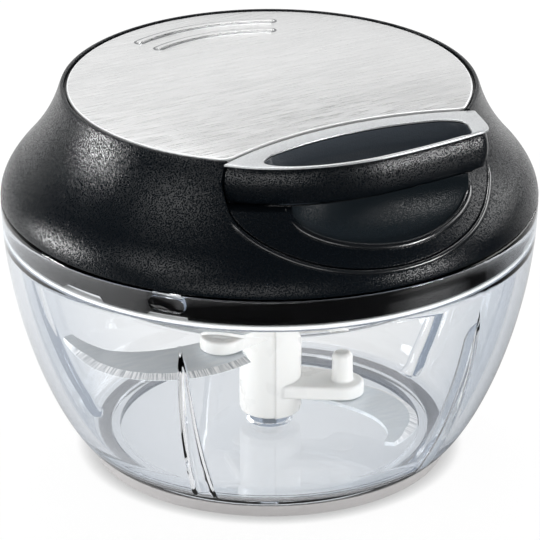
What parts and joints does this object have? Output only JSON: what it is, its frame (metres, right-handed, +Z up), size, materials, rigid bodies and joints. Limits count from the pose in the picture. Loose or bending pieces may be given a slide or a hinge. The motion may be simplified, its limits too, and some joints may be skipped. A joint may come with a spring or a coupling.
{
  "type": "pull-cord food chopper",
  "caption": "Hand-powered food chopper: a clear bowl under a lid whose pull handle unwinds a cord from a sprung reel and spins a stacked blade unit.",
  "frame": {"origin": "centre of the base, at the foot ring's lower face", "axes": "+Z up along the bowl's axis, -Y the way the handle is pulled, +X to the right of someone who looks at the handle"},
  "size_m": [0.1324, 0.1324, 0.0965],
  "materials": {
    "clear_plastic": "clear moulded plastic, polished",
    "foot_rubber": "soft translucent white",
    "seal_silicone": "smooth translucent silicone",
    "black_plastic": "fine-grained satin black",
    "white_plastic": "glossy white",
    "natural_plastic": "natural off-white",
    "silver_plastic": "satin silver lacquer",
    "brushed_plate": "brushed along X",
    "blade_steel": "polished, with a ground bevel",
    "plain_steel": "bright drawn",
    "bush_brass": "turned",
    "cord_fibre": "braided white"
  },
  "bodies": {
    "bowl": {"bowl": "clear_plastic", "foot_ring": "foot_rubber", "pivot_pin": "plain_steel"},
    "seal": {"lid_seal": "seal_silicone"},
    "lid": {"lid_cover": "black_plastic", "top_plate": "brushed_plate", "handle_well": "black_plastic", "lid_base": "black_plastic", "base_bush": "natural_plastic", "reel_axle": "plain_steel", "cord_guide": "plain_steel", "base_screw_1": "plain_steel", "base_screw_2": "plain_steel", "base_screw_3": "plain_steel", "base_screw_4": "plain_steel", "well_screw_1": "plain_steel", "well_screw_2": "plain_steel"},
    "handle": {"handle_grip": "black_plastic", "handle_trim": "silver_plastic", "cord_knot": "plain_steel", "cord_lead": "cord_fibre"},
    "reel": {"reel": "natural_plastic", "cord_winding": "cord_fibre", "recoil_spring": "plain_steel", "spring_cover": "natural_plastic"},
    "blade_unit": {"blade_hub": "white_plastic", "hub_bush": "bush_brass", "blade_low": "blade_steel", "blade_middle": "blade_steel", "blade_high": "blade_steel"}
  },
  "joints": [
    {"name": "lid_lift", "type": "slide", "parent": "bowl", "child": "seal", "axis": [0, 0, 1], "range_m": [0, 0.1]},
    {"name": "lid_twist", "type": "hinge", "parent": "seal", "child": "lid", "pos_m": [0, 0, 0.06], "axis": [0, 0, 1], "range_deg": [-22, 0]},
    {"name": "handle_pull", "type": "slide", "parent": "lid", "child": "handle", "axis": [0, -1, 0], "range_m": [0, 0.3], "stiffness_N_per_m": 20, "springref_m": -0.02, "deforming": ["cord_lead", "recoil_spring"]},
    {"name": "reel_spin", "type": "hinge", "parent": "lid", "child": "reel", "pos_m": [0, 0, 0.08], "axis": [0, 0, 1], "range_deg": [0, 1056]},
    {"name": "blade_spin", "type": "hinge", "parent": "bowl", "child": "blade_unit", "pos_m": [0, 0, 0.03], "axis": [0, 0, 1], "range_deg": [0, 1056]}
  ],
  "couplings": [
    {"joint": "reel_spin", "follows": "handle_pull", "rad_per_m": 61.35},
    {"joint": "blade_spin", "follows": "handle_pull", "rad_per_m": 61.35}
  ]
}
